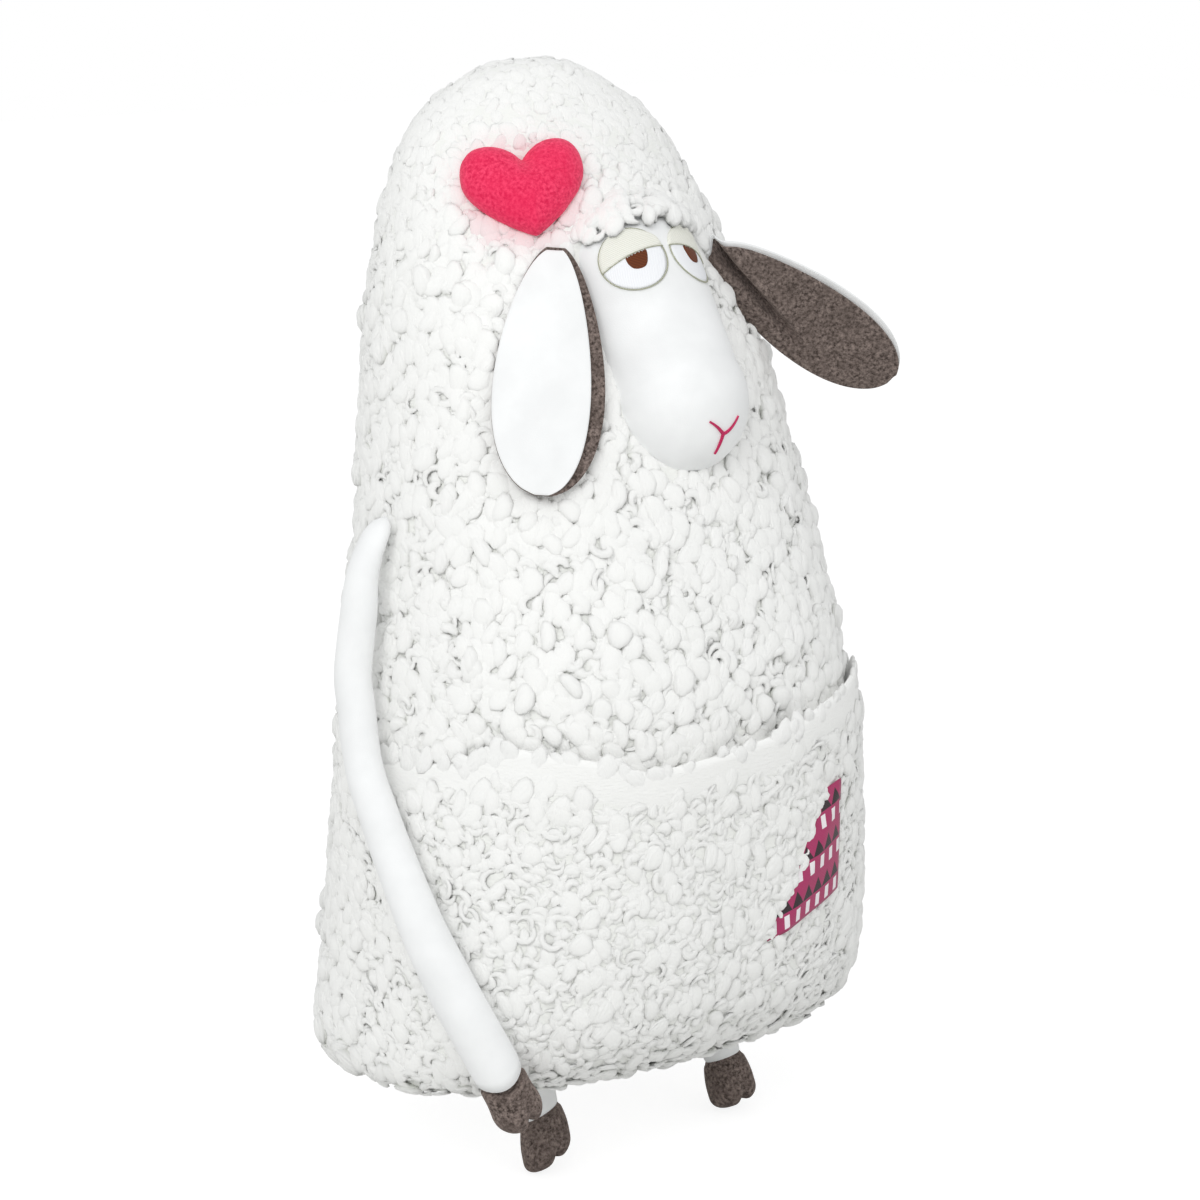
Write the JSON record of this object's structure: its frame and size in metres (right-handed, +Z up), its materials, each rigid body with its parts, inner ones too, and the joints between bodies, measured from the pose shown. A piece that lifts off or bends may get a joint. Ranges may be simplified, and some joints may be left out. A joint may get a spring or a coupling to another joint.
{
  "type": "plush sheep",
  "caption": "Tall stuffed sheep of curly plush on a flat base, with a belly pouch, a smooth padded face, flapping ears, limp bending arms and short swinging legs with cloven hooves.",
  "frame": {"origin": "centre of the flat base that the body rests on", "axes": "+Z up through the crown, the sheep faces -Y and its own left is +X"},
  "size_m": [0.3425, 0.231, 0.5535],
  "materials": {
    "curly_plush": "white plush of small rolled curls",
    "white_velour": "short smooth white pile",
    "fibre_filling": "loose polyester fibre",
    "brown_plush": "short speckled grey-brown pile",
    "pink_minky": "short soft raspberry pile",
    "printed_ribbon": "printed satin ribbon",
    "eye_embroidery": "satin stitch, bluish white",
    "lid_embroidery": "satin stitch, cream",
    "pupil_embroidery": "satin stitch, brown",
    "outline_thread": "embroidery thread, olive grey",
    "mouth_thread": "embroidery thread, pink"
  },
  "bodies": {
    "torso": {"front_cover": "curly_plush", "back_cover": "curly_plush", "base_cover": "curly_plush", "body_filling": "fibre_filling", "pouch_panel_right": "curly_plush", "pouch_panel_left": "curly_plush", "pouch_patch": "printed_ribbon", "face_cover": "white_velour", "face_filling": "fibre_filling", "mouth_stitch": "mouth_thread", "heart_cover": "pink_minky", "heart_filling": "fibre_filling", "eye_white_right": "eye_embroidery", "eyelid_right": "lid_embroidery", "pupil_right": "pupil_embroidery", "eye_outline_right": "outline_thread", "eye_white_left": "eye_embroidery", "eyelid_left": "lid_embroidery", "pupil_left": "pupil_embroidery", "eye_outline_left": "outline_thread"},
    "ear_right": {"ear_outer_right": "white_velour", "ear_inner_right": "brown_plush"},
    "ear_left": {"ear_outer_left": "white_velour", "ear_inner_left": "brown_plush"},
    "upper_arm_right": {"arm_upper_right": "white_velour"},
    "forearm_right": {"arm_lower_right": "white_velour", "arm_hoof_right": "brown_plush"},
    "upper_arm_left": {"arm_upper_left": "white_velour"},
    "forearm_left": {"arm_lower_left": "white_velour", "arm_hoof_left": "brown_plush"},
    "leg_right": {"leg_stub_right": "white_velour", "leg_hoof_right": "brown_plush"},
    "leg_left": {"leg_stub_left": "white_velour", "leg_hoof_left": "brown_plush"}
  },
  "joints": [
    {"name": "ear_right_flap", "type": "hinge", "parent": "torso", "child": "ear_right", "pos_m": [-0.0512, -0.0345, 0.4075], "axis": [-0.7977, 0.5978, 0.079], "range_deg": [0, 75]},
    {"name": "ear_left_flap", "type": "hinge", "parent": "torso", "child": "ear_left", "pos_m": [0.0467, -0.0366, 0.4043], "axis": [-0.2991, 0.6293, -0.7173], "range_deg": [-8, 45], "stiffness_Nm_per_rad": 0.15},
    {"name": "shoulder_right", "type": "hinge", "parent": "torso", "child": "upper_arm_right", "pos_m": [-0.12242, 0.01008, 0.281], "axis": [-1, 0, 0], "range_deg": [0, 110]},
    {"name": "shoulder_left", "type": "hinge", "parent": "torso", "child": "upper_arm_left", "pos_m": [0.12242, 0.01008, 0.281], "axis": [-1, 0, 0], "range_deg": [-30, 110]},
    {"name": "elbow_right", "type": "hinge", "parent": "upper_arm_right", "child": "forearm_right", "pos_m": [-0.15335, -0.0095, 0.16755], "axis": [-1, 0, 0], "range_deg": [0, 100]},
    {"name": "elbow_left", "type": "hinge", "parent": "upper_arm_left", "child": "forearm_left", "pos_m": [0.14984, 0.01262, 0.17461], "axis": [-1, 0, 0], "range_deg": [-15, 100]},
    {"name": "hip_right", "type": "hinge", "parent": "torso", "child": "leg_right", "pos_m": [-0.062, -0.027, -0.0099], "axis": [-1, 0, 0], "range_deg": [-40, 60]},
    {"name": "hip_left", "type": "hinge", "parent": "torso", "child": "leg_left", "pos_m": [0.062, -0.027, -0.0099], "axis": [-1, 0, 0], "range_deg": [-40, 60]}
  ]
}
